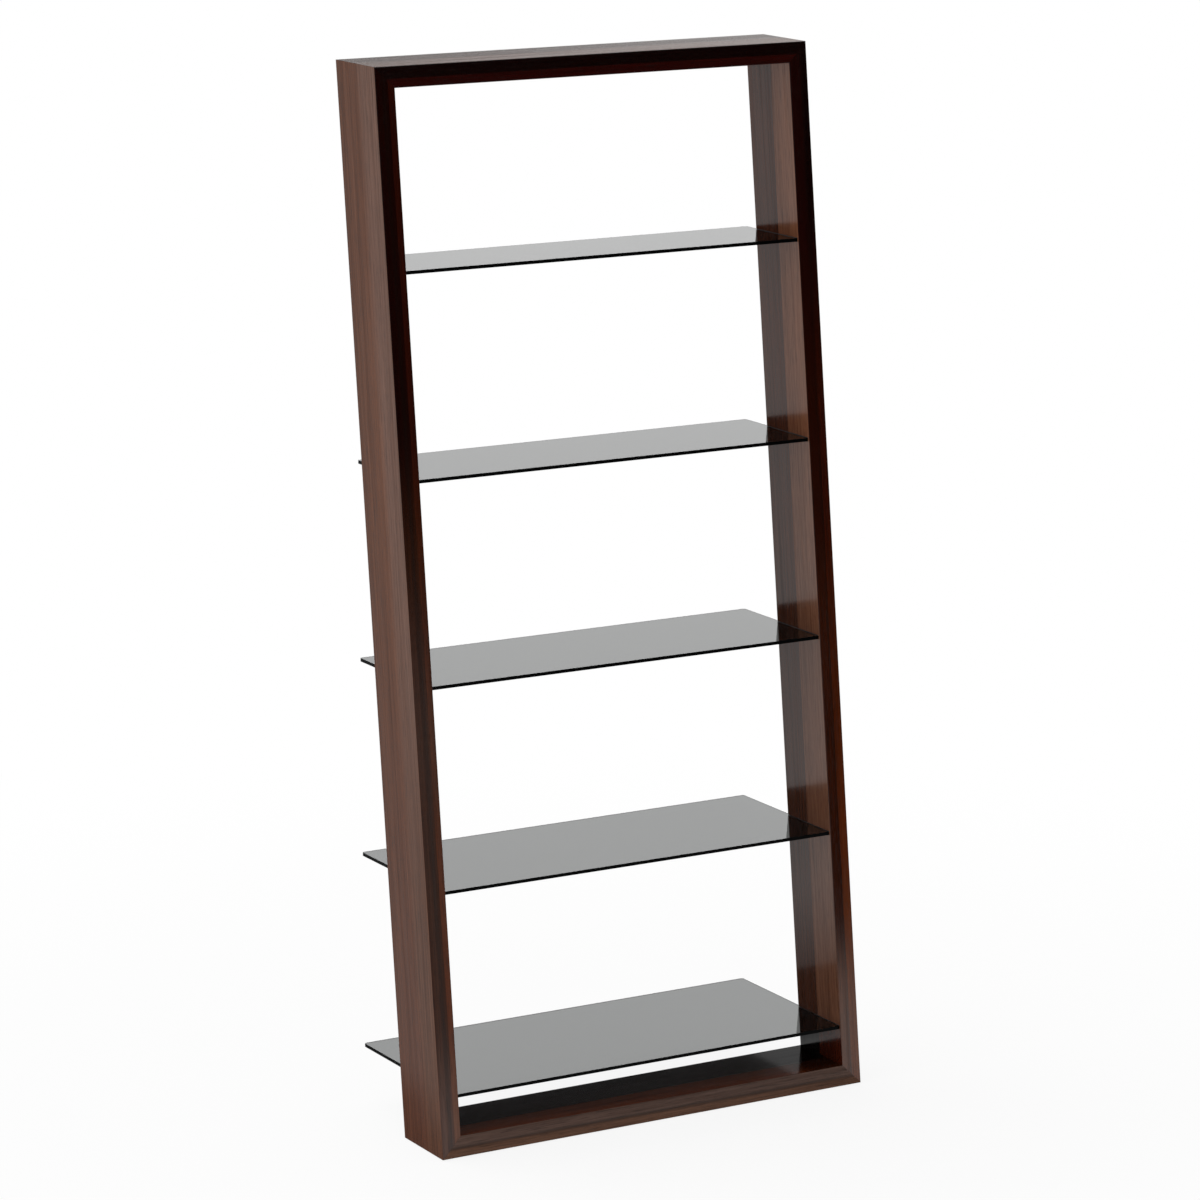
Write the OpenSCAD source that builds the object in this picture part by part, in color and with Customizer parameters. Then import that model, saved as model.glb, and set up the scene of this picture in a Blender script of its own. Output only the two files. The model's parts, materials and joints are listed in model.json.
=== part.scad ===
// Leaning bookshelf. A mitred frame of four flat boards leans back against a wall and
// carries five tinted glass shelves, which slide into lined grooves from behind.
// Lengths are in millimetres. X runs to the right, Y runs back to the wall, Z runs up.
// The origin is on the floor, midway across the frame and midway from its toe to the wall.

/* [Frame] */
// Overall width of the frame
frame_w = 838; // [700:1:1000]
// Overall height, from the floor to the top of the frame
frame_h = 1824; // [1600:1:2100]
// Depth on the floor, from the frame's toe to the wall
frame_reach = 350; // [300:1:450]
// Depth of every board, measured level
board_d = 139.5; // [110:0.5:170]
// Thickness of every board
board_t = 36; // [34:0.5:50]
// Radius of the eased long edges
edge_r = 1.2; // [0.5:0.1:3]

/* [Glass shelves] */
// Thickness of the glass
glass_t = 6; // [5:0.5:10]
// Radius of the four corners of each shelf, seen from above
glass_corner_r = 5; // [2:0.5:12]
// Clear height above the top shelf
top_bay = 300; // [200:1:400]
// Clear gap between the bottom board and the lowest shelf
toe_gap = 64; // [40:1:150]
// Gap between the shelves' rear edges and the wall
wall_gap = 1; // [0.5:0.5:10]

/* [Grooves and liners] */
// Depth of each groove into its upright
groove_depth = 6; // [4.5:0.5:12]
// Wood left between the front of a groove and the face of the frame
groove_land = 3.6; // [2.5:0.1:20]
// Wall thickness of the channel that lines a groove
liner_t = 0.8; // [0.5:0.1:1.5]
// How far a liner stops short of the rear face of the upright
liner_short = 0.5; // [0.2:0.1:5]
// Play above the glass in its liner
glass_play = 0.15; // [0.05:0.05:0.5]
// Play between the edge of the glass and the web of its liner, and in front of the glass
glass_end_play = 0.4; // [0.2:0.1:1]

/* [Corner tongues] */
// Thickness of the loose tongue in each mitre
tongue_t = 5; // [3:0.5:6]
// Width of a tongue, across the mitre
tongue_w = 20; // [12:1:22]
// Length of a tongue, along the mitre
tongue_l = 96; // [60:1:100]
// Clearance round a tongue in its slots
tongue_gap = 0.1; // [0.05:0.05:0.3]

/* [Levelling feet] */
// Radius of a foot's pad
pad_r = 14; // [11:0.5:16]
// Height by which a pad stands proud of the bottom board
pad_show = 2; // [1:0.5:5]
// Depth of the counterbore that takes a pad
pad_recess = 8; // [7:0.5:9]
// Gap between a pad and its counterbore
pad_gap = 1; // [0.5:0.5:2]
// Gap between a raised pad and the floor of its counterbore
pad_ceiling_gap = 0.3; // [0.2:0.1:1]
// Radius of the rounded rim of a pad
pad_rim_r = 1; // [0.5:0.1:1.5]
// Radius of the threaded stud
stud_r = 4; // [3:0.5:5]
// Length of stud above its pad
stud_l = 22; // [20:0.5:23]
// Radius of the flange that holds a stud in its pad
stud_flange_r = 6.5; // [6:0.5:8]
// Thickness of that flange
stud_flange_t = 2.4; // [1.5:0.1:3]
// Width across the corners of the hexagon socket under a stud
stud_hex_w = 4.6; // [3:0.1:5]
// Depth of that socket
stud_hex_depth = 4; // [2:0.5:8]
// Radius of the key hole through the sole of a pad
key_hole_r = 3; // [2.5:0.1:4]
// Outer radius of the threaded insert
insert_r = 6; // [5.5:0.5:8]
// Length of the threaded insert
insert_l = 15; // [8:0.5:16]
// Radius of the insert's rim, let into the floor of the counterbore
insert_rim_r = 8; // [8:0.5:10]
// Thickness of that rim
insert_rim_t = 1; // [0.5:0.1:2]
// Running clearance round a stud
stud_gap = 0.05; // [0.02:0.01:0.1]
// Clearance round a stud in the wood above its insert
bore_gap = 0.1; // [0.05:0.05:0.5]
// Depth of that bore left above a raised stud
bore_spare = 1.3; // [0.5:0.1:2]
// Distance from the side of the frame to a foot
foot_side = 72; // [66:1:110]
// Distance from the front or rear face of the board to a foot
foot_edge = 32; // [24:1:40]

/* [Wall brackets] */
// Width of each bracket
bracket_w = 30; // [24:1:50]
// Thickness of the bracket's steel
bracket_t = 2; // [1.5:0.1:3]
// Length of the leg under the top board
bracket_leg = 34; // [30:1:50]
// Drop of the leg on the wall
bracket_drop = 16; // [15:0.5:40]
// Radius inside the bend
bracket_bend_r = 2; // [1:0.1:2.5]
// Radius of the hole for the wall screw
wall_hole_r = 2.6; // [2:0.1:3]
// Height of the wall hole above the foot of the bracket
wall_hole_up = 6; // [5:0.5:6.5]
// Distance from the inside of an upright to the middle of its bracket
bracket_inset = 83; // [50:1:150]

/* [Bracket screws] */
// Radius of a screw's shank
screw_r = 1.9; // [1.5:0.1:2.2]
// Length of a screw under its head
screw_l = 20; // [14:1:26]
// Radius of a screw's head
screw_head_r = 3.6; // [3:0.1:4.5]
// Height of a screw's head
screw_head_h = 2.2; // [1.5:0.1:3]
// Distance between the two screws of a bracket
screw_pitch = 16; // [10:0.5:20]
// Distance from the front end of the bracket to its screws
screw_in = 14; // [8:0.5:16]
// Clearance round a screw in the bracket
screw_gap = 0.3; // [0.1:0.1:0.6]
// Depth of the pilot hole left beyond the tip of a screw
pilot_spare = 1; // [0.5:0.5:4]

/* [Hidden] */
$fn = 64;

wood = [0.17, 0.09, 0.07];
glass = [0.66, 0.68, 0.68, 0.6];
black_plastic = [0.06, 0.06, 0.06];
plywood = [0.78, 0.64, 0.45];
steel = [0.68, 0.69, 0.71];
brass = [0.75, 0.6, 0.3];

// Past a face, so that a cut leaves no skin
over = 1;
shelf_count = 5;

half_w = frame_w / 2;
inner_x = half_w - board_t;
wall_y = frame_reach / 2;
base_z = pad_show;
lean_run = (frame_reach - board_d) / (frame_h - base_z);
lean = atan(lean_run);
board_n = board_d * cos(lean);

top_shelf_z = frame_h - board_t - top_bay;
low_shelf_z = base_z + board_t + toe_gap + glass_t;
shelf_pitch = (top_shelf_z - low_shelf_z) / (shelf_count - 1);

groove_h = glass_t + glass_play + 2 * liner_t;
glass_half_w = inner_x + groove_depth - liner_t - glass_end_play;
glass_rear_y = wall_y - wall_gap;

recess_top_z = base_z + pad_recess;
pad_r_bore = pad_r + pad_gap;
pad_top_z = recess_top_z - pad_ceiling_gap;
flange_z = (pad_top_z - stud_flange_t) / 2;

rail_under_z = frame_h - board_t;
bracket_x = inner_x - bracket_inset;

// Front face of the frame at a height
function front_at(z) = -frame_reach / 2 + (z - base_z) * lean_run;

// Rear face of the frame at a height
function rear_at(z) = front_at(z) + board_d;

// Top face of a shelf, counted from the top shelf down
function shelf_z(i) = top_shelf_z - (i - 1) * shelf_pitch;

function groove_low_z(i) = shelf_z(i) - glass_t - liner_t;

// The groove starts a land behind the face of the frame, measured where that face is furthest back
function groove_front_y(i) = front_at(groove_low_z(i) + groove_h) + groove_land;

// Section of a board with level sides and eased corners; slope leans its other two sides
module eased_section(level, height, slope) {
    tilt = atan(slope);
    inset = edge_r / cos(tilt);
    low = edge_r;
    high = height - edge_r;
    side = [edge_r * cos(tilt), edge_r * sin(tilt)];
    front_low = [low * slope + inset, low];
    front_high = [high * slope + inset, high];
    rear_low = [level + low * slope - inset, low];
    rear_high = [level + high * slope - inset, high];
    polygon([
        [front_low.x, 0], [rear_low.x, 0],
        rear_low + [side.x, -side.y], rear_high + [side.x, -side.y],
        [rear_high.x, height], [front_high.x, height],
        front_high + [-side.x, side.y], front_low + [-side.x, side.y]
    ]);
    for (corner = [front_low, front_high, rear_low, rear_high]) translate(corner) circle(r = edge_r);
}

// Prism along Y over an outline in X and Z
module through_depth(outline) {
    translate([0, frame_reach, 0]) rotate([90, 0, 0]) linear_extrude(2 * frame_reach) polygon(outline);
}

// Slot or tongue across the mitre of one corner; grow widens it all round
module corner_key(side, z, up, grow) {
    z_mid = z - up * board_t / 2;
    translate([side * (half_w - board_t / 2), front_at(z_mid) + board_d / 2, z_mid])
        rotate([0, -side * up * 45, 0])
        cube([tongue_t + 2 * grow, tongue_l + 2 * grow, tongue_w + 2 * grow], center = true);
}

// Side is -1 for the left upright and 1 for the right one
module upright(side) {
    color(wood) difference() {
        intersection() {
            translate([side * half_w - (side + 1) / 2 * board_t, front_at(base_z), base_z])
                rotate([-lean, 0, 0])
                translate([0, 0, -board_t])
                linear_extrude((frame_h + board_d) / cos(lean))
                eased_section(board_t, board_n, 0);
            through_depth([
                [side * half_w, base_z], [side * half_w, frame_h],
                [side * inner_x, rail_under_z], [side * inner_x, base_z + board_t]
            ]);
        }
        for (i = [1:shelf_count]) shelf_groove(side, i);
        corner_key(side, frame_h, 1, tongue_gap);
        corner_key(side, base_z, -1, tongue_gap);
    }
}

// Groove for one shelf, stopped behind the face and open at the rear
module shelf_groove(side, i) {
    x_low = side > 0 ? inner_x - over : -inner_x - groove_depth;
    translate([x_low, groove_front_y(i), groove_low_z(i)])
        cube([groove_depth + over, board_d + over, groove_h]);
}

// A rail lies between the mitres at its two ends
module rail(low_z, outline) {
    intersection() {
        translate([-half_w, front_at(low_z), low_z])
            rotate([90, 0, 90])
            linear_extrude(frame_w)
            eased_section(board_d, board_t, lean_run);
        through_depth(outline);
    }
}

module top_rail() {
    color(wood) difference() {
        rail(rail_under_z, [
            [-half_w, frame_h], [half_w, frame_h],
            [inner_x, rail_under_z], [-inner_x, rail_under_z]
        ]);
        for (side = [-1, 1]) {
            corner_key(side, frame_h, 1, tongue_gap);
            at_bracket_screws(side) translate([0, 0, -over])
                cylinder(r = screw_r, h = screw_l - bracket_t + pilot_spare + over);
        }
    }
}

module bottom_rail() {
    color(wood) difference() {
        rail(base_z, [
            [-half_w, base_z], [half_w, base_z],
            [inner_x, base_z + board_t], [-inner_x, base_z + board_t]
        ]);
        for (side = [-1, 1]) {
            corner_key(side, base_z, -1, tongue_gap);
            for (back = [0, 1]) at_foot(side, back) foot_hole();
        }
    }
}

module tongue(side, z, up) {
    color(plywood) corner_key(side, z, up, 0);
}

// Plain sheet of glass with rounded corners
module glass_shelf(i) {
    front_y = groove_front_y(i) + glass_end_play;
    depth = glass_rear_y - front_y;
    r = glass_corner_r;
    color(glass) translate([-glass_half_w, front_y, shelf_z(i) - glass_t])
        linear_extrude(glass_t) {
            translate([r, 0]) square([2 * glass_half_w - 2 * r, depth]);
            translate([0, r]) square([2 * glass_half_w, depth - 2 * r]);
            for (x = [r, 2 * glass_half_w - r], y = [r, depth - r]) translate([x, y]) circle(r = r);
        }
}

// Thin channel that lines a groove and grips the edge of the glass
module liner(side, i) {
    low_z = groove_low_z(i);
    start_y = groove_front_y(i);
    length = rear_at(low_z) - liner_short - start_y;
    x_low = side > 0 ? inner_x : -inner_x - groove_depth;
    x_cut = side > 0 ? inner_x - over : -inner_x - groove_depth + liner_t;
    color(black_plastic) difference() {
        translate([x_low, start_y, low_z]) cube([groove_depth, length, groove_h]);
        translate([x_cut, start_y - over, low_z + liner_t])
            cube([groove_depth - liner_t + over, length + 2 * over, glass_t + glass_play]);
    }
}

// Places a foot: side is -1 or 1, back is 0 at the front and 1 at the rear
module at_foot(side, back) {
    front_y = front_at(base_z) + foot_edge;
    rear_y = rear_at(base_z) - foot_edge;
    translate([side * (half_w - foot_side), back == 1 ? rear_y : front_y, 0]) children();
}

// Counterbore, seat of the insert and blind hole for the stud
module foot_hole() {
    cylinder(r = pad_r_bore, h = recess_top_z);
    translate([0, 0, recess_top_z - over]) cylinder(r = insert_rim_r, h = insert_rim_t + over);
    translate([0, 0, recess_top_z - over]) cylinder(r = insert_r, h = insert_l + over);
    cylinder(r = stud_r + bore_gap, h = pad_top_z + stud_l + bore_spare);
}

module foot_inserts() {
    color(brass) for (side = [-1, 1], back = [0, 1]) at_foot(side, back)
        translate([0, 0, recess_top_z]) difference() {
            union() {
                cylinder(r = insert_rim_r, h = insert_rim_t);
                cylinder(r = insert_r, h = insert_l);
            }
            translate([0, 0, -over]) cylinder(r = stud_r + stud_gap, h = insert_l + 2 * over);
        }
}

// Disc with a rounded rim, a pocket for the stud's flange and a hole for the key
module foot_pad(side, back) {
    pocket_r = stud_flange_r + stud_gap;
    neck_r = stud_r + stud_gap;
    color(black_plastic) at_foot(side, back) rotate_extrude() difference() {
        union() {
            translate([0, pad_rim_r]) square([pad_r, pad_top_z - pad_rim_r]);
            square([pad_r - pad_rim_r, pad_top_z]);
            translate([pad_r - pad_rim_r, pad_rim_r]) circle(r = pad_rim_r);
        }
        translate([-over, -over]) square([key_hole_r + over, flange_z + 2 * over]);
        translate([-over, flange_z - stud_gap]) square([pocket_r + over, stud_flange_t + 2 * stud_gap]);
        translate([-over, flange_z]) square([neck_r + over, pad_top_z]);
    }
}

// Stud with its flange trapped in the pad and a hexagon socket for the key
module foot_stud(side, back) {
    color(steel) at_foot(side, back) difference() {
        union() {
            translate([0, 0, flange_z]) cylinder(r = stud_flange_r, h = stud_flange_t);
            translate([0, 0, flange_z]) cylinder(r = stud_r, h = pad_top_z - flange_z + stud_l);
        }
        translate([0, 0, flange_z - over]) cylinder(d = stud_hex_w, h = stud_hex_depth + over, $fn = 6);
    }
}

// Places both screws of a bracket, at the underside of the top board
module at_bracket_screws(side) {
    for (step = [-0.5, 0.5])
        translate([side * bracket_x + step * screw_pitch, wall_y - bracket_leg + screw_in, rail_under_z])
            children();
}

// Angle of bent strip: one leg under the top board, the other on the wall
module wall_bracket(side) {
    bend_out = bracket_bend_r + bracket_t;
    color(steel) difference() {
        translate([side * bracket_x - bracket_w / 2, 0, 0]) rotate([90, 0, 90]) linear_extrude(bracket_w) {
            translate([wall_y - bracket_leg, rail_under_z - bracket_t])
                square([bracket_leg - bend_out, bracket_t]);
            translate([wall_y - bracket_t, rail_under_z - bracket_drop])
                square([bracket_t, bracket_drop - bend_out]);
            translate([wall_y - bend_out, rail_under_z - bend_out]) intersection() {
                difference() {
                    circle(r = bend_out);
                    circle(r = bracket_bend_r);
                }
                square(bend_out);
            }
        }
        at_bracket_screws(side) translate([0, 0, -bracket_t - over])
            cylinder(r = screw_r + screw_gap, h = bracket_t + 2 * over);
        translate([side * bracket_x, wall_y + over, rail_under_z - bracket_drop + wall_hole_up])
            rotate([90, 0, 0]) cylinder(r = wall_hole_r, h = bracket_t + 2 * over);
    }
}

module bracket_screws() {
    color(steel) for (side = [-1, 1]) at_bracket_screws(side) {
        translate([0, 0, -bracket_t]) cylinder(r = screw_r, h = screw_l);
        translate([0, 0, -bracket_t - screw_head_h]) cylinder(r = screw_head_r, h = screw_head_h);
    }
}

upright(-1);  // left_upright
upright(1);  // right_upright
top_rail();
bottom_rail();
tongue(-1, frame_h, 1);  // tongue_top_left
tongue(1, frame_h, 1);  // tongue_top_right
tongue(-1, base_z, -1);  // tongue_bottom_left
tongue(1, base_z, -1);  // tongue_bottom_right
glass_shelf(1);  // glass_shelf_1
glass_shelf(2);  // glass_shelf_2
glass_shelf(3);  // glass_shelf_3
glass_shelf(4);  // glass_shelf_4
glass_shelf(5);  // glass_shelf_5
liner(-1, 1);  // liner_left_1
liner(-1, 2);  // liner_left_2
liner(-1, 3);  // liner_left_3
liner(-1, 4);  // liner_left_4
liner(-1, 5);  // liner_left_5
liner(1, 1);  // liner_right_1
liner(1, 2);  // liner_right_2
liner(1, 3);  // liner_right_3
liner(1, 4);  // liner_right_4
liner(1, 5);  // liner_right_5
foot_inserts();
foot_pad(-1, 0);  // foot_pad_front_left
foot_pad(1, 0);  // foot_pad_front_right
foot_pad(-1, 1);  // foot_pad_back_left
foot_pad(1, 1);  // foot_pad_back_right
foot_stud(-1, 0);  // foot_stud_front_left
foot_stud(1, 0);  // foot_stud_front_right
foot_stud(-1, 1);  // foot_stud_back_left
foot_stud(1, 1);  // foot_stud_back_right
wall_bracket(-1);  // wall_bracket_left
wall_bracket(1);  // wall_bracket_right
bracket_screws();
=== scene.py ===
"""Leaning bookshelf: the finishes of its veneered frame, tinted glass and fittings.

Lengths are in metres. X runs to the right, Y back to the wall and Z up.
"""
import json
import math

import bpy
import numpy as np
from mathutils import Matrix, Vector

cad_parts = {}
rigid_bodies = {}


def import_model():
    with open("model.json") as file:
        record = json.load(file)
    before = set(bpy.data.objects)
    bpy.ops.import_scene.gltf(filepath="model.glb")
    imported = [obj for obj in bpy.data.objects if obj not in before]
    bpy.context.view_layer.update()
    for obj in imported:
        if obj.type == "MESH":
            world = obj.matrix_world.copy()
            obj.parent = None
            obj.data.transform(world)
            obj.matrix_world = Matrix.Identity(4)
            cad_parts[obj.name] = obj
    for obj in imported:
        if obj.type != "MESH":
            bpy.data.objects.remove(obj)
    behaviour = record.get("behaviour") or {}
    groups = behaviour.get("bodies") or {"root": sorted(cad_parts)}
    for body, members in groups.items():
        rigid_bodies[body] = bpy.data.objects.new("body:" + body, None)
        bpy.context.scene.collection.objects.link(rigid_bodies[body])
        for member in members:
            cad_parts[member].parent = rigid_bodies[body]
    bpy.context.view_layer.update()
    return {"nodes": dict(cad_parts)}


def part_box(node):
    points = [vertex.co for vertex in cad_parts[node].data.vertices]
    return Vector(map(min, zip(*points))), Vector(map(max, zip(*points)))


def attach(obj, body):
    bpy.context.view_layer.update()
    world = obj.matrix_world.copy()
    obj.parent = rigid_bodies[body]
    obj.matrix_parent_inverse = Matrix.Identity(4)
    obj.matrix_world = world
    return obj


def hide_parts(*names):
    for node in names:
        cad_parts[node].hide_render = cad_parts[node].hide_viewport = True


for leftover in list(bpy.data.objects):
    bpy.data.objects.remove(leftover, do_unlink=True)

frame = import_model()

# Sizes of the frame that the finishes follow
HALF_WIDTH = 0.419
TOP = 1.824
UNDERSIDE = 0.002
REACH = 0.350
BOARD_DEPTH = 0.1395
BOARD_THICKNESS = 0.036
LEAN = (REACH - BOARD_DEPTH) / (TOP - UNDERSIDE)

WHITE = (1.0, 1.0, 1.0)
BLACK = (0.0, 0.0, 0.0)


def grey(level):
    return (level, level, level)


# Finishes
class Finish:
    """A material, or the light of the room, with short ways to add and join its nodes."""

    def __init__(self, name, room=False):
        self.material = (bpy.data.worlds if room else bpy.data.materials).new(name)
        self.material.use_nodes = True
        self.tree = self.material.node_tree
        self.tree.nodes.clear()
        self.output = self.tree.nodes.new("ShaderNodeOutputWorld" if room else "ShaderNodeOutputMaterial")

    def feed(self, socket, value):
        """Joins a socket to another one, or sets it to a number, colour or vector."""
        if isinstance(value, bpy.types.NodeSocket):
            self.tree.links.new(value, socket)
        elif isinstance(value, (tuple, list)) and socket.type == "RGBA" and len(value) == 3:
            socket.default_value = (*value, 1.0)
        else:
            socket.default_value = value

    def node(self, kind, feeds=None, **settings):
        made = self.tree.nodes.new(kind)
        for key, value in settings.items():
            setattr(made, key, value)
        for key, value in (feeds or {}).items():
            self.feed(made.inputs[key], value)
        return made

    def finish(self, shader, socket="Surface"):
        self.tree.links.new(shader.outputs[0], self.output.inputs[socket])

    def maths(self, operation, a, b=0.0, c=0.0):
        return self.node("ShaderNodeMath", {0: a, 1: b, 2: c}, operation=operation).outputs[0]

    def linear(self, value, slope, start):
        return self.maths("MULTIPLY_ADD", value, slope, start)

    def product(self, first, *others):
        for other in others:
            first = self.maths("MULTIPLY", first, other)
        return first

    def most(self, first, *others):
        for other in others:
            first = self.maths("MAXIMUM", first, other)
        return first

    def distance(self, a, b):
        return self.maths("ABSOLUTE", self.maths("SUBTRACT", a, b))

    def between(self, share, a, b):
        """Number that goes from a to b as the share goes from 0 to 1."""
        return self.maths("ADD", self.product(a, self.maths("SUBTRACT", 1.0, share)), self.product(b, share))

    def step(self, value, low, high, start=0.0, end=1.0, smooth=True):
        """Number that goes from start to end as the value goes from low to high, and then stays."""
        return self.node("ShaderNodeMapRange", {
            "Value": value, "From Min": low, "From Max": high, "To Min": start, "To Max": end},
            interpolation_type="SMOOTHSTEP" if smooth else "LINEAR").outputs[0]

    def place(self):
        return self.node("ShaderNodeTexCoord").outputs["Object"]

    def axes(self, vector):
        parts = self.node("ShaderNodeSeparateXYZ", {0: vector})
        return parts.outputs[0], parts.outputs[1], parts.outputs[2]

    def vector(self, x, y, z):
        return self.node("ShaderNodeCombineXYZ", {0: x, 1: y, 2: z}).outputs[0]

    def along(self, vector, direction):
        return self.node("ShaderNodeVectorMath", {0: vector, 1: direction}, operation="DOT_PRODUCT").outputs["Value"]

    def noise(self, vector, waves, detail=1.0, roughness=0.5):
        """Noise with so many waves a metre along each axis."""
        spread = self.node("ShaderNodeVectorMath", {0: vector, 1: waves}, operation="MULTIPLY").outputs[0]
        return self.node("ShaderNodeTexNoise", {
            "Vector": spread, "Scale": 1.0, "Detail": detail, "Roughness": roughness}).outputs[0]

    def blend(self, share, a, b, how="MIX"):
        made = self.node("ShaderNodeMix", {0: share, 6: a, 7: b}, data_type="RGBA", blend_type=how)
        return made.outputs[2]

    def dyed(self, colour, dye):
        return self.blend(1.0, colour, dye, "MULTIPLY")

    def bump(self, height, distance, strength):
        return self.node("ShaderNodeBump", {
            "Height": height, "Distance": distance, "Strength": strength}).outputs[0]

    def surface(self, **feeds):
        """Principled surface; underscores in the names stand for spaces."""
        self.finish(self.node("ShaderNodeBsdfPrincipled", {k.replace("_", " "): v for k, v in feeds.items()}))


# Colours of the veneer
TAN = (0.139, 0.063, 0.040)
PALE = (0.150, 0.062, 0.034)
SHADE = (0.056, 0.018, 0.009)
# Near-black painted shade, for faces that little light reaches
PAINTED_SHADE_BLACK = (0.011, 0.0012, 0.0006)
PORE = (0.006, 0.003, 0.002)
MITRE_LINE = (0.003, 0.002, 0.0015)
DARK_FIGURE = (0.60, 0.56, 0.54)
LIGHT_FIGURE = (1.40, 1.44, 1.46)

# How far the grain sways from side to side, and how wide the change from a face to the next one is
SWAY = 0.012
ROUND_EDGE = (0.0004, 0.0009)

# Leaves of the rear edges, the same on every board
REAR = (0.0200, 0.0170, 0.001, None, (0.0, (0.084, 0.035, 0.021), (0.112, 0.048, 0.029)))


def veneer(name, upright, side, seed, lacquer, gloss, faces):
    """Open-pored veneer under smooth lacquer, laid in two leaves on every face.

    The grain runs along the board. Its figure is a sum of noises drawn out along the board: broad
    bands, streaks and threads, all swaying a little sideways, with short dark flecks and pores on
    top. lacquer is how much of the smooth coat lies on the board: half of it on the darkest streaks
    and half as much again on the lightest, up to a full coat. gloss is how rough that coat is.

    faces gives, for the outer side, the inner side and the narrow front: how far across the
    leaves meet at the low end and at the high end of the board, how softly, a dark vein or None, and
    then heights from the top down, each with the colours on either side of the line at that height.
    On the narrow fronts, and on the inner sides near the floor, these colours paint light and shade:
    painted shade where little light falls, and painted light towards the foot of the fronts, where
    the floor lights them and is mirrored in them. A vein is its strength, how far it lies from the
    line, and half its width. A fourth entry gives where along the board the inner side starts and
    ends to get darker with painted shade towards the corner, and the share of its colour left.
    """
    f = Finish(name)
    here = f.place()
    x, _, z = f.axes(here)
    behind = f.maths("ADD", f.along(here, (0.0, 1.0, -LEAN)), REACH / 2 + LEAN * UNDERSIDE)
    if upright:
        run, run_low, run_high = z, UNDERSIDE, TOP
        inward = f.linear(x, -side, HALF_WIDTH)
    else:
        run, run_low, run_high = x, -HALF_WIDTH, HALF_WIDTH
        inward = f.linear(z, -side, TOP if side > 0 else -UNDERSIDE)
    length = f.maths("ADD", run, seed)
    sway = f.linear(f.noise(f.vector(length, behind, inward), (1.1, 5.0, 5.0)), SWAY, -SWAY / 2)
    grain = f.vector(length, f.maths("ADD", behind, sway), f.maths("ADD", inward, sway))
    broad = f.noise(grain, (0.55, 26.0, 26.0), detail=2.0)
    streaks = f.noise(grain, (2.2, 190.0, 190.0), detail=3.0, roughness=0.6)
    threads = f.noise(grain, (9.0, 520.0, 520.0), detail=2.0, roughness=0.6)
    flecks = f.step(f.noise(grain, (20.0, 900.0, 900.0)), 0.55, 0.75)
    pores = f.step(f.noise(grain, (48.0, 2400.0, 2400.0)), 0.60, 0.72)

    share = f.step(run, run_low, run_high, smooth=False)
    wander = f.maths("ADD", f.linear(streaks, 0.0020, -0.0010), f.product(sway, 0.35))

    def leaves(across, line_low, line_high, soft, vein, *stops):
        """Colours of the two leaves of a face, on either side of the line where they meet; on some faces the line
        and the changes with height paint light and shade instead.
        """
        line = f.maths("ADD", f.linear(share, line_high - line_low, line_low), wander)
        offset = f.maths("SUBTRACT", across, line)
        height, before, after = stops[0]
        for lower, before_low, after_low in stops[1:]:
            fall = f.step(z, height, lower)
            before, after, height = f.blend(fall, before, before_low), f.blend(fall, after, after_low), lower
        both = f.blend(f.step(offset, -soft, soft), before, after)
        if vein is None:
            return both
        strength, aside, half = vein
        core = f.step(f.distance(offset, aside), half * 0.25, half, strength, 0.0)
        return f.blend(f.product(core, f.step(streaks, 0.25, 0.60, 0.35, 1.25, smooth=False)), both, PORE)

    outer = leaves(behind, *faces["outer"])
    inner = leaves(behind, *faces["inner"])
    # Painted shade: the inner side gets darker towards the corner at its end
    if "painted_shade_end" in faces:
        start, end, left = faces["painted_shade_end"]
        inner = f.blend(f.step(run, start, end), inner, f.dyed(inner, grey(left)))
    narrow = leaves(inward, *faces["narrow"])
    rear = leaves(inward, *REAR)
    middle = BOARD_THICKNESS / 2
    wide = f.blend(f.step(inward, middle - 0.001, middle + 0.001, smooth=False), outer, inner)
    near, far = ROUND_EDGE
    on_front = f.step(behind, near, far, 1.0, 0.0, smooth=False)
    on_rear = f.step(behind, BOARD_DEPTH - far, BOARD_DEPTH - near, smooth=False)
    colour = f.blend(on_front, f.blend(on_rear, wide, rear), narrow)

    figure = 0.0
    for part, weight in ((broad, 0.9), (streaks, 0.9), (threads, 1.1)):
        figure = f.maths("ADD", figure, f.linear(part, weight, -weight / 2))
    colour = f.dyed(colour, f.blend(f.step(figure, -0.45, 0.45, smooth=False), DARK_FIGURE, LIGHT_FIGURE))
    colour = f.blend(f.most(f.product(pores, 0.45), f.product(flecks, 0.6)), colour, PORE)

    # Hairline where the boards meet in a mitre
    from_side = f.maths("SUBTRACT", HALF_WIDTH, f.maths("ABSOLUTE", x))
    to_mitre = f.maths("MINIMUM", f.distance(from_side, f.maths("SUBTRACT", TOP, z)),
                       f.distance(from_side, f.maths("SUBTRACT", z, UNDERSIDE)))
    colour = f.blend(f.step(to_mitre, 0.00012, 0.00030, 0.7, 0.0), colour, MITRE_LINE)

    relief = f.bump(f.linear(pores, -1.0, f.product(threads, 0.35)), 0.00003, 0.5)
    coat = f.maths("MINIMUM", f.linear(streaks, lacquer, lacquer * 0.5), 1.0)
    f.surface(Base_Color=colour, Roughness=f.linear(streaks, 0.2, 0.45), Specular_IOR_Level=0.0,
              Coat_Weight=coat, Coat_IOR=1.5, Coat_Roughness=gloss, Normal=relief, Coat_Normal=relief)
    return f.material


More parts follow.
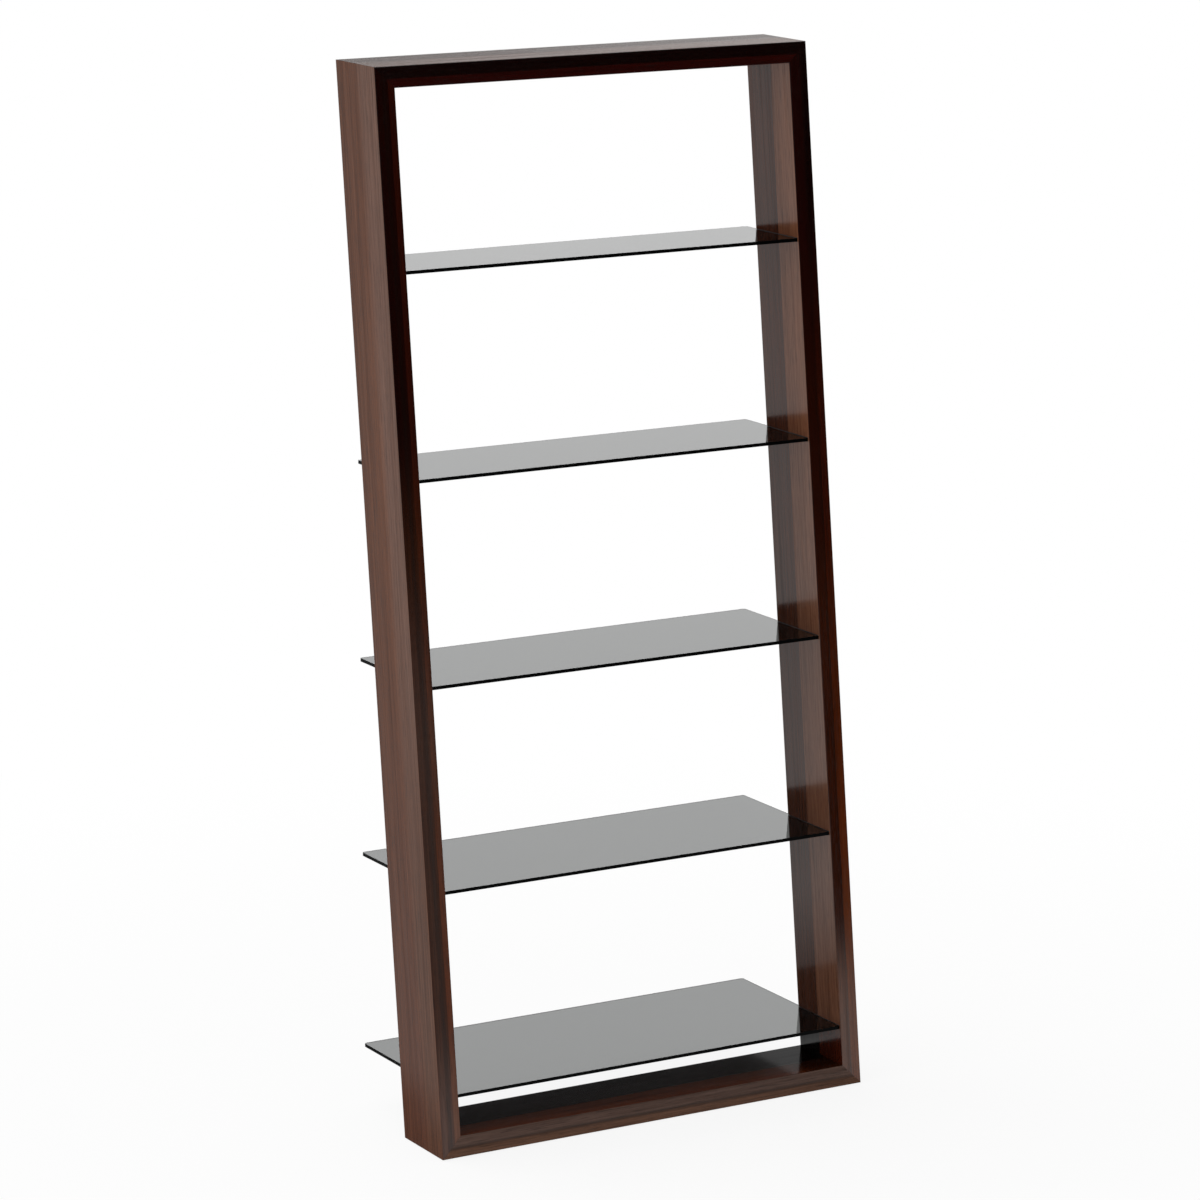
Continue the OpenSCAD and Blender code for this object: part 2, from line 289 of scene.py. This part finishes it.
def tinted_glass(name):
    """Clear grey sheet glass, whose colour comes from the way that light runs through it.

    Each metre takes up density * (1 - colour), so that 6 mm let about a quarter of the light pass.
    """
    f = Finish(name)
    ripple = f.noise(f.place(), (9.0, 3.0, 9.0))
    f.surface(Base_Color=WHITE, Roughness=0.0, IOR=1.5, Transmission_Weight=1.0,
              Normal=f.bump(ripple, 0.00002, 0.2))
    f.finish(f.node("ShaderNodeVolumeAbsorption", {"Color": (0.0, 0.024, 0.018), "Density": 229.0}), "Volume")
    return f.material


def dark_edge(name):
    """Polished edge of the grey glass: light that enters it is lost along the sheet, so it looks black."""
    f = Finish(name)
    wheel = f.noise(f.place(), (60.0, 60.0, 2500.0), detail=2.0)
    f.surface(Base_Color=f.blend(wheel, (0.0004, 0.0005, 0.0005), (0.0014, 0.0017, 0.0017)),
              Roughness=f.linear(wheel, 0.16, 0.14), Specular_IOR_Level=0.03,
              Normal=f.bump(wheel, 0.000004, 0.3))
    return f.material


def speckled(name, colour, darker, grain, roughness, metallic=0.0):
    """Fine even grain: a noise mixes two colours and roughens the surface a little."""
    f = Finish(name)
    here = f.place()
    fine = f.noise(here, grain, detail=3.0, roughness=0.6)
    patch = f.noise(here, (30.0, 30.0, 30.0), detail=2.0)
    mix = f.step(f.linear(patch, 0.4, f.product(fine, 0.6)), 0.3, 0.7)
    f.surface(Base_Color=f.blend(mix, darker, colour), Metallic=metallic,
              Roughness=f.linear(fine, 0.2, roughness - 0.1), Normal=f.bump(fine, 0.00002, 0.4))
    return f.material


def laminate(name):
    """Bare plywood: pale and brown plies by depth, with fine grain."""
    f = Finish(name)
    here = f.place()
    x, _, z = f.axes(here)
    ply_thickness = 0.0014
    ply = f.maths("PINGPONG", f.maths("ADD", f.maths("ABSOLUTE", x), z), ply_thickness)
    grain = f.noise(here, (400.0, 12.0, 400.0), detail=3.0)
    colour = f.blend(f.step(ply, 0.0005, 0.0009), (0.62, 0.45, 0.27), (0.42, 0.26, 0.13))
    colour = f.blend(f.product(grain, 0.5), colour, (0.34, 0.21, 0.11))
    f.surface(Base_Color=colour, Roughness=0.7, Normal=f.bump(grain, 0.00004, 0.5))
    return f.material


OUTER_STOPS = ((1.1, TAN, (0.112, 0.034, 0.011)), (0.2, (0.100, 0.036, 0.016), (0.088, 0.025, 0.009)))
RAIL_SIDE = (0.070, 0.070, 0.006, None, (0.0, TAN, SHADE))
WOOD = {
    "left_upright": dict(upright=True, side=-1, seed=3.0, lacquer=0.6, gloss=0.12, faces={
        "outer": (0.052, 0.060, 0.016, None, *OUTER_STOPS),
        "inner": (0.070, 0.060, 0.002, None, (0.0, TAN, SHADE)),
        # Painted light and shade on the front: near-black painted shade high up, lighter towards the foot, where the
        # floor lights the front and is mirrored in it; the dark vein is the wood's own
        "narrow": (0.0245, 0.0240, 0.001, (0.45, -0.0080, 0.0070),
                   (1.25, PAINTED_SHADE_BLACK, (0.028, 0.0034, 0.0010)),
                   (0.98, (0.034, 0.0080, 0.0020), (0.052, 0.0100, 0.0020)),
                   (0.65, (0.046, 0.0130, 0.0045), (0.070, 0.0165, 0.0035)),
                   (0.40, (0.046, 0.0130, 0.0045), (0.096, 0.0200, 0.0034)),
                   (0.25, (0.044, 0.0110, 0.0030), (0.096, 0.0190, 0.0024)),
                   (0.06, (0.090, 0.0400, 0.0270), (0.155, 0.0600, 0.0320)))}),
    "right_upright": dict(upright=True, side=1, seed=7.0, lacquer=1.0, gloss=0.12, faces={
        "outer": (0.066, 0.060, 0.014, None, *OUTER_STOPS),
        # Inner side: a little redder high up, and in painted shade much darker at the foot, in the corner under the
        # lowest shelf
        "inner": (0.075, 0.062, 0.0016, None,
                  (1.30, (0.178, 0.068, 0.034), (0.060, 0.018, 0.009)),
                  (0.70, PALE, SHADE),
                  (0.120, PALE, SHADE),
                  (0.080, (0.064, 0.009, 0.002), (0.003, 0.001, 0.0008))),
        # Painted light and shade on the front: near-black painted shade high up, lighter towards the foot, where the
        # floor lights the front; the dark vein is the wood's own
        "narrow": (0.0180, 0.0125, 0.002, (0.35, 0.0010, 0.0028),
                   (1.60, (0.0060, 0.0007, 0.0004), (0.0130, 0.0011, 0.0007)),
                   (1.05, (0.040, 0.0050, 0.0010), (0.021, 0.0030, 0.0006)),
                   (0.75, (0.062, 0.0100, 0.0014), (0.036, 0.0070, 0.0020)),
                   (0.45, (0.098, 0.0170, 0.0020), (0.032, 0.0055, 0.0010)),
                   (0.30, (0.112, 0.0220, 0.0024), (0.034, 0.0060, 0.0010)),
                   (0.15, (0.142, 0.0360, 0.0070), (0.100, 0.0310, 0.0110)))}),
    "top_rail": dict(upright=False, side=1, seed=14.0, lacquer=0.72, gloss=0.15, faces={
        "outer": RAIL_SIDE,
        "inner": RAIL_SIDE,
        # Painted shade: the front of the top rail is near-black, as little light reaches it
        "narrow": (0.021, 0.021, 0.001, None, (0.0, (0.0060, 0.0007, 0.0004), (0.026, 0.0016, 0.0008)))}),
    "bottom_rail": dict(upright=False, side=-1, seed=17.0, lacquer=0.25, gloss=0.12, faces={
        "outer": RAIL_SIDE,
        # Painted light and shade on the top of the bottom rail: a lit brown strip near the front, near-black painted
        # shade under the shelves further back
        "inner": (0.045, 0.055, 0.006, None, (0.0, (0.092, 0.018, 0.003), PAINTED_SHADE_BLACK)),
        # Painted shade: the top of the bottom rail gets darker towards the right corner
        "painted_shade_end": (0.285, 0.335, 0.35),
        # Painted light: the front of the bottom rail is lighter, lit and mirrored by the floor close by; the dark
        # vein is the wood's own
        "narrow": (0.0152, 0.0152, 0.0015, (0.45, 0.0, 0.0045),
                   (0.0, (0.146, 0.066, 0.036), (0.122, 0.068, 0.050)))}),
}
for node, board in WOOD.items():
    frame["nodes"][node].data.materials[0] = veneer("veneer_" + node, **board)

channel_rubber = speckled("channel_rubber", (0.030, 0.030, 0.031), (0.018, 0.018, 0.019), (700.0, 700.0, 700.0), 0.6)
moulded_pad = speckled("moulded_pad", (0.045, 0.045, 0.046), (0.028, 0.028, 0.029), (900.0, 900.0, 900.0), 0.5)
zinc_plate = speckled("zinc_plate", (0.66, 0.67, 0.69), (0.50, 0.52, 0.55), (60.0, 700.0, 700.0), 0.34, metallic=1.0)
turned_brass = speckled("turned_brass", (0.75, 0.58, 0.28), (0.60, 0.44, 0.19), (300.0, 300.0, 1600.0), 0.3,
                        metallic=1.0)
plywood = laminate("plywood")
smoked_glass = tinted_glass("smoked_glass")
polished_edge = dark_edge("polished_edge")
for name, thing in frame["nodes"].items():
    for start, finish in (("liner", channel_rubber), ("foot_pad", moulded_pad), ("foot_stud", zinc_plate),
                          ("wall_bracket", zinc_plate), ("bracket_screws", zinc_plate),
                          ("foot_inserts", turned_brass), ("tongue", plywood)):
        if name.startswith(start):
            thing.data.materials[0] = finish


# Glass
def mesh_piece(name, points, faces, finishes, which=None):
    """Object of loose corners and faces, at the origin; which gives each face's finish by number."""
    mesh = bpy.data.meshes.new(name)
    mesh.from_pydata(points.tolist(), [], faces)
    for finish in finishes:
        mesh.materials.append(finish)
    if which is not None:
        mesh.polygons.foreach_set("material_index", which)
    mesh.validate()
    piece = bpy.data.objects.new(name, mesh)
    bpy.context.scene.collection.objects.link(piece)
    return piece


def glass_sheet(name, low, high):
    """Sheet with rounded corners and ground arrises.

    The outline is a rectangle whose corners are quarter circles: centre + corner * (cos a, sin a).
    Four rings of it make the edge, at bottom, bottom + arris, top - arris and top; the first and the
    last are drawn in by the arris, so each ring is the outline moved inwards along its normal.
    """
    corner, arris, steps = 0.005, 0.0003, 13
    turn = np.linspace(0.0, np.pi / 2, steps)
    angles = (np.arange(4)[:, None] * np.pi / 2 + turn[None, :]).ravel()
    centre_x = np.repeat([high[0] - corner, low[0] + corner, low[0] + corner, high[0] - corner], steps)
    centre_y = np.repeat([high[1] - corner, high[1] - corner, low[1] + corner, low[1] + corner], steps)
    centre = np.stack([centre_x, centre_y], axis=1)
    out = np.stack([np.cos(angles), np.sin(angles)], axis=1)
    inset = np.array([arris, 0.0, 0.0, arris])
    level = np.array([low[2], low[2] + arris, high[2] - arris, high[2]])
    ring = centre[None] + (corner - inset)[:, None, None] * out[None]
    points = np.concatenate([ring, np.broadcast_to(level[:, None, None], (4, len(angles), 1))], axis=2)
    count = len(angles)
    here = np.arange(count)
    after = np.roll(here, -1)
    quads = np.concatenate([
        np.stack([k * count + here, k * count + after, (k + 1) * count + after, (k + 1) * count + here], axis=1)
        for k in range(3)])
    faces = quads.tolist() + [(3 * count + here).tolist(), here[::-1].tolist()]
    which = np.r_[np.ones(3 * count), 0, 0].astype(np.int32)
    return mesh_piece(name, points.reshape(-1, 3), faces, [smoked_glass, polished_edge], which)


for number in range(1, 6):
    node = "glass_shelf_%d" % number
    sheet = glass_sheet("sheet_of_glass_%d" % number, *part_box(node))
    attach(sheet, "shelf_%d" % number)
    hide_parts(node)


# Screws and studs
ROUND = np.arange(72)[None, :] * 2 * np.pi / 72


def threaded(height, low, high, root, crest, pitch):
    """Radius of a threaded shank at each height and each angle round it.

    A ridge climbs one pitch in a turn: it rises and falls evenly with height / pitch - angle / (2 pi),
    from the root to the crest, and fades into the root over one pitch at the low and the high end.
    """
    turns = (height / pitch - ROUND / (2 * np.pi)) % 1.0
    ridge = 1.0 - np.abs(2.0 * turns - 1.0)
    fade = np.clip((height - low) / pitch, 0.0, 1.0) * np.clip((high - height) / pitch, 0.0, 1.0)
    return root + (crest - root) * ridge * fade


def lathe(rings, places):
    """Closed turned shapes, one at each place.

    rings gives radius and height from the pole under the shape to the pole over it, each as one
    number, a column for several rings, or a grid with one column for each angle round the axis.
    A point is (radius * cos a, radius * sin a, height).
    """
    radius = np.concatenate([0 * ROUND + ring[0] for ring in rings])
    height = np.concatenate([0 * ROUND + ring[1] for ring in rings])
    rows, count = radius.shape
    ring = np.stack([radius * np.cos(ROUND), radius * np.sin(ROUND), height], axis=2).reshape(-1, 3)
    ends = np.array([[0.0, 0.0, height[0].mean()], [0.0, 0.0, height[-1].mean()]])
    one = np.concatenate([ring, ends])
    here = np.arange(count)
    after = np.roll(here, -1)
    row = np.arange(rows - 1)[:, None] * count
    quads = np.stack([row + here, row + after, row + count + after, row + count + here], axis=2).reshape(-1, 4)
    last = (rows - 1) * count
    fans = np.concatenate([np.stack([np.full(count, rows * count), after, here], axis=1),
                           np.stack([np.full(count, rows * count + 1), last + here, last + after], axis=1)])
    points = np.concatenate([one + np.array(place) for place in places])
    faces = []
    for k in range(len(places)):
        faces += (quads + k * len(one)).tolist() + (fans + k * len(one)).tolist()
    return points, faces


def pan_head_screws(name, places):
    """Pan head wood screws with a cross recess, head downwards.

    From below: a crown that swells with 1 - (out / flat) ^ 2, a quarter ellipse down to the straight
    rim, the bearing face at height 0, a plain neck, a thread and a cone to the tip. The recess is a
    cross of two bars. A crown point less than half a bar from a bar's middle line sinks into it, by
    the depth times the square root of the share of the bar that is left towards its end.
    """
    head, crown, shank, tip = 0.0036, 0.0022, 0.0019, 0.020
    round_out, round_up, swell = 0.0012, 0.0011, 0.0001
    crown_rings, bend_rings, shank_rings, cone_rings = 15, 9, 96, 28
    half_bar, bar_wall, bar_reach, depth = 0.00050, 0.00010, 0.0019, 0.0012
    neck, neck_end, root, pitch = shank * 0.86, 0.0036, shank * 0.70, 0.0016
    thread_low, thread_high, cone_from, cone, blunt = 0.0040, tip - 0.0010, 0.0160, 0.0045, 0.02

    flat = head - round_out
    out = np.linspace(0.0, 1.0, crown_rings)[1:, None] * flat
    bar = np.minimum(np.abs(np.sin(ROUND)), np.abs(np.cos(ROUND))) * out
    sunk = np.clip((half_bar - bar) / bar_wall, 0.0, 1.0) * np.clip(1.0 - out / bar_reach, 0.0, 1.0) ** 0.5
    dome = swell * (1.0 - (out / flat) ** 2)
    bend = np.linspace(0.0, np.pi / 2, bend_rings)[1:, None]
    length = np.concatenate([np.linspace(0.0, cone_from, shank_rings)[1:],
                             np.linspace(cone_from, tip, cone_rings)[1:]])[:, None]
    thread = threaded(length, thread_low, thread_high, root, shank, pitch)
    thread = np.where(length < neck_end, neck, thread * np.clip((tip - length) / cone, blunt, 1.0))
    rings = [(out, -crown + swell - dome + depth * sunk),
             (flat + round_out * np.sin(bend), -crown + swell + round_up * (1 - np.cos(bend))),
             (head, 0.0), (neck, 0.0), (thread, length)]
    points, faces = lathe(rings, places)
    return mesh_piece(name, points, faces, [zinc_plate])


def levelling_stud(name, place):
    """Threaded stud with a flange and a hexagon socket in its lower end.

    From the floor of the socket: its six flat walls, whose radius at an angle is the flat's distance
    over the cosine of the angle from the middle of the flat, then the flange with a small chamfer,
    the neck, the thread and a chamfered end.
    """
    base, socket, flange_top, top = 0.00365, 0.0040, 0.00605, 0.0317
    flange, chamfer, crest, root, pitch = 0.0065, 0.0003, 0.0040, 0.0034, 0.00125
    neck, neck_top, end, socket_corner = 0.0036, 0.0075, 0.0032, 0.0023
    first_ring, thread_low, last_ring, thread_rings = 0.0078, 0.0080, top - 0.0006, 150

    flat = socket_corner * math.cos(math.pi / 6)
    hexagon = flat / np.cos(ROUND % (np.pi / 3) - np.pi / 6)
    length = np.linspace(first_ring, last_ring, thread_rings)[:, None]
    thread = np.minimum(threaded(length, thread_low, top, root, crest, pitch), root + top - length)
    rings = [(hexagon * 0.5, base + socket), (hexagon, base + socket), (hexagon, base),
             (flange - chamfer, base), (flange, base + chamfer),
             (flange, flange_top - chamfer), (flange - chamfer, flange_top),
             (neck, flange_top), (root, neck_top), (thread, length), (end, top)]
    points, faces = lathe(rings, [place])
    return mesh_piece(name, points, faces, [zinc_plate])


BRACKET_X, SCREW_ASIDE, SCREW_Y, SCREW_Z = 0.300, 0.008, 0.155, 1.786
screws = pan_head_screws("pan_head_screws", [(side * BRACKET_X + aside, SCREW_Y, SCREW_Z)
                                             for side in (-1, 1) for aside in (-SCREW_ASIDE, SCREW_ASIDE)])
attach(screws, "frame")
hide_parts("bracket_screws")

FOOT_X, FOOT_FRONT, FOOT_BACK = 0.347, -0.143, -0.0675
for corner, x, y in (("front_left", -FOOT_X, FOOT_FRONT), ("front_right", FOOT_X, FOOT_FRONT),
                     ("back_left", -FOOT_X, FOOT_BACK), ("back_right", FOOT_X, FOOT_BACK)):
    stud = levelling_stud("levelling_stud_" + corner, (x, y, 0.0))
    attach(stud, "stud_" + corner)
    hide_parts("foot_stud_" + corner)


# Room
def white_floor():
    """Pale matt floor, which the camera, mirrors and glass see as white.

    Near the object a share of the matt floor shows through the white, so its shadow is kept. What
    the lacquer and the glass mirror of the floor depends on its place: it is light at the foot, dark
    further out in front on the right, a little darker behind, and dark under the lowest shelf and
    close beside the feet, where little light gets in. Seen through glass, a mirrored floor is dark.
    """
    foot_level, behind_level, under_loss, beside_loss, glass_level, white_near = 1.15, 0.68, 0.80, 0.78, 0.1, 0.88
    f = Finish("white_floor")
    rays = f.node("ShaderNodeLightPath").outputs
    here = f.place()
    x, y, _ = f.axes(here)
    aside = f.maths("ABSOLUTE", x)

    far = f.product(f.step(f.linear(y, 0.56, x), -0.5, 0.3, 1.0, 0.0), f.step(y, -20.0, -8.0, 0.68, 0.54))
    in_front = f.between(f.step(f.linear(x, 0.62, y), -1.85, -0.40), far, foot_level)
    mirrored = f.between(f.step(y, -0.3, 0.3), in_front, behind_level)
    under = f.product(f.step(y, 0.00, 0.20), f.step(y, 0.30, 1.05, 1.0, 0.0), f.step(aside, 0.42, 0.62, 1.0, 0.0))
    beside = f.product(f.step(aside, 0.40, 0.42), f.step(aside, 0.44, 0.64, 1.0, 0.0),
                       f.step(y, -0.26, -0.17), f.step(y, 0.3, 0.5, 1.0, 0.0))
    through = f.step(rays["Transmission Depth"], 0.0, 1.0, 1.0, glass_level, smooth=False)
    mirrored = f.product(mirrored, f.linear(under, -under_loss, 1.0), f.linear(beside, -beside_loss, 1.0), through)

    bounced = f.step(rays["Glossy Depth"], 0.0, 1.0, smooth=False)
    plain = f.node("ShaderNodeEmission", {"Color": WHITE, "Strength": f.between(bounced, 1.0, mirrored)})
    mottle = f.noise(here, (3.0, 3.0, 3.0), detail=2.0)
    matt = f.node("ShaderNodeBsdfDiffuse", {"Color": f.blend(mottle, grey(0.97), grey(0.985))})
    seen = f.most(rays["Is Camera Ray"], rays["Is Glossy Ray"], rays["Is Transmission Ray"])
    away = f.node("ShaderNodeVectorMath", {0: here}, operation="LENGTH").outputs["Value"]
    share = f.product(seen, f.step(away, 0.7, 2.6, white_near, 1.0))
    f.finish(f.node("ShaderNodeMixShader", {0: share, 1: matt.outputs[0], 2: plain.outputs[0]}))
    return f.material


def studio():
    """Light of the room by direction.

    Matt surfaces get soft plain light, more of it from the wall side and from the left. The lacquer
    and the glass mirror white softboxes between black flags: one overhead, one on the wall side with
    a narrow dark band low down and a gap on the left, and a dimmer one in the room, which stays
    higher up on the right. The camera sees plain white, also through the glass.
    """
    gap, shade, room_level = -0.525, 0.49, 0.8
    f = Finish("studio", room=True)
    rays = f.node("ShaderNodeLightPath").outputs
    rightward, backward, upward = f.axes(f.node("ShaderNodeTexCoord").outputs["Generated"])

    band_level = f.step(rightward, 0.46, 0.53, 0.03, 0.40)
    rise = f.maths("ADD", upward, f.step(rightward, 0.46, 0.53, -0.0060, 0.0080, smooth=False))
    band = f.most(f.step(rise, 0.10, 0.14, band_level, 1.0), f.step(rise, 0.045, 0.070, 1.0, 0.0))
    leftward = f.product(f.step(f.distance(rightward, gap), 0.05, 0.11), f.step(upward, 0.10, 0.24))
    wall_side = f.product(f.step(backward, -0.45, -0.15), f.most(f.step(rightward, -0.40, -0.10), leftward), band)
    room_low = f.product(f.step(f.distance(rightward, shade), 0.12, 0.24), f.step(upward, 0.04, 0.14))
    room_side = f.product(f.step(backward, -0.45, -0.15, room_level, 0.0),
                          f.most(f.step(upward, 0.16, 0.34), room_low))
    softbox = f.most(wall_side, room_side, f.step(upward, 0.40, 0.65))

    around = f.blend(f.step(backward, -0.6, 0.6), grey(0.40), WHITE)
    around = f.dyed(around, f.blend(f.step(rightward, -0.9, 0.3), grey(1.4), grey(0.8)))
    lit = f.blend(rays["Is Glossy Ray"], around, f.blend(softbox, BLACK, WHITE))
    shown = f.blend(f.most(rays["Is Camera Ray"], rays["Is Transmission Ray"]), lit, WHITE)
    f.finish(f.node("ShaderNodeBackground", {"Color": shown, "Strength": 1.0}))
    return f.material


SIDE, FRONT, BACK = 40.0, -40.0, 60.0
floor_points = np.array([[-SIDE, FRONT, 0.0], [SIDE, FRONT, 0.0], [SIDE, BACK, 0.0], [-SIDE, BACK, 0.0]])
floor = mesh_piece("studio_floor", floor_points, [(0, 1, 2, 3)], [white_floor()])
bpy.context.scene.world = studio()

key = bpy.data.lights.new("soft_key", "SUN")
key.energy = 0.6
key.angle = math.radians(50.0)
key_lamp = bpy.data.objects.new("soft_key", key)
key_lamp.rotation_euler = (math.radians(-14.0), math.radians(-16.0), 0.0)
key_lamp.visible_glossy = False
key_lamp.visible_transmission = False
bpy.context.scene.collection.objects.link(key_lamp)

# Camera: where it stands, how it is turned, and its focal length for a frame 1200 pixels wide
CAMERA_X, CAMERA_Y, CAMERA_Z = -4.0469, -6.9877, 2.6645
FOCAL_PIXELS, FRAME_PIXELS = 4811.0, 1200
yaw, pitch, roll = math.radians(30.002), math.radians(-12.398), math.radians(-0.045)
ahead = np.array([math.sin(yaw) * math.cos(pitch), math.cos(yaw) * math.cos(pitch), math.sin(pitch)])
level = np.array([math.cos(yaw), -math.sin(yaw), 0.0])
above = np.cross(level, ahead)
right = math.cos(roll) * level + math.sin(roll) * above
upright = math.cos(roll) * above - math.sin(roll) * level
lens = bpy.data.cameras.new("camera")
lens.sensor_width = 36.0
lens.lens = FOCAL_PIXELS / FRAME_PIXELS * lens.sensor_width
lens.clip_start, lens.clip_end = 0.1, 200.0
camera = bpy.data.objects.new("camera", lens)
camera.matrix_world = Matrix((
    (right[0], upright[0], -ahead[0], CAMERA_X),
    (right[1], upright[1], -ahead[1], CAMERA_Y),
    (right[2], upright[2], -ahead[2], CAMERA_Z),
    (0.0, 0.0, 0.0, 1.0)))
bpy.context.scene.collection.objects.link(camera)
bpy.context.scene.camera = camera
bpy.context.scene.view_settings.view_transform = "Standard"
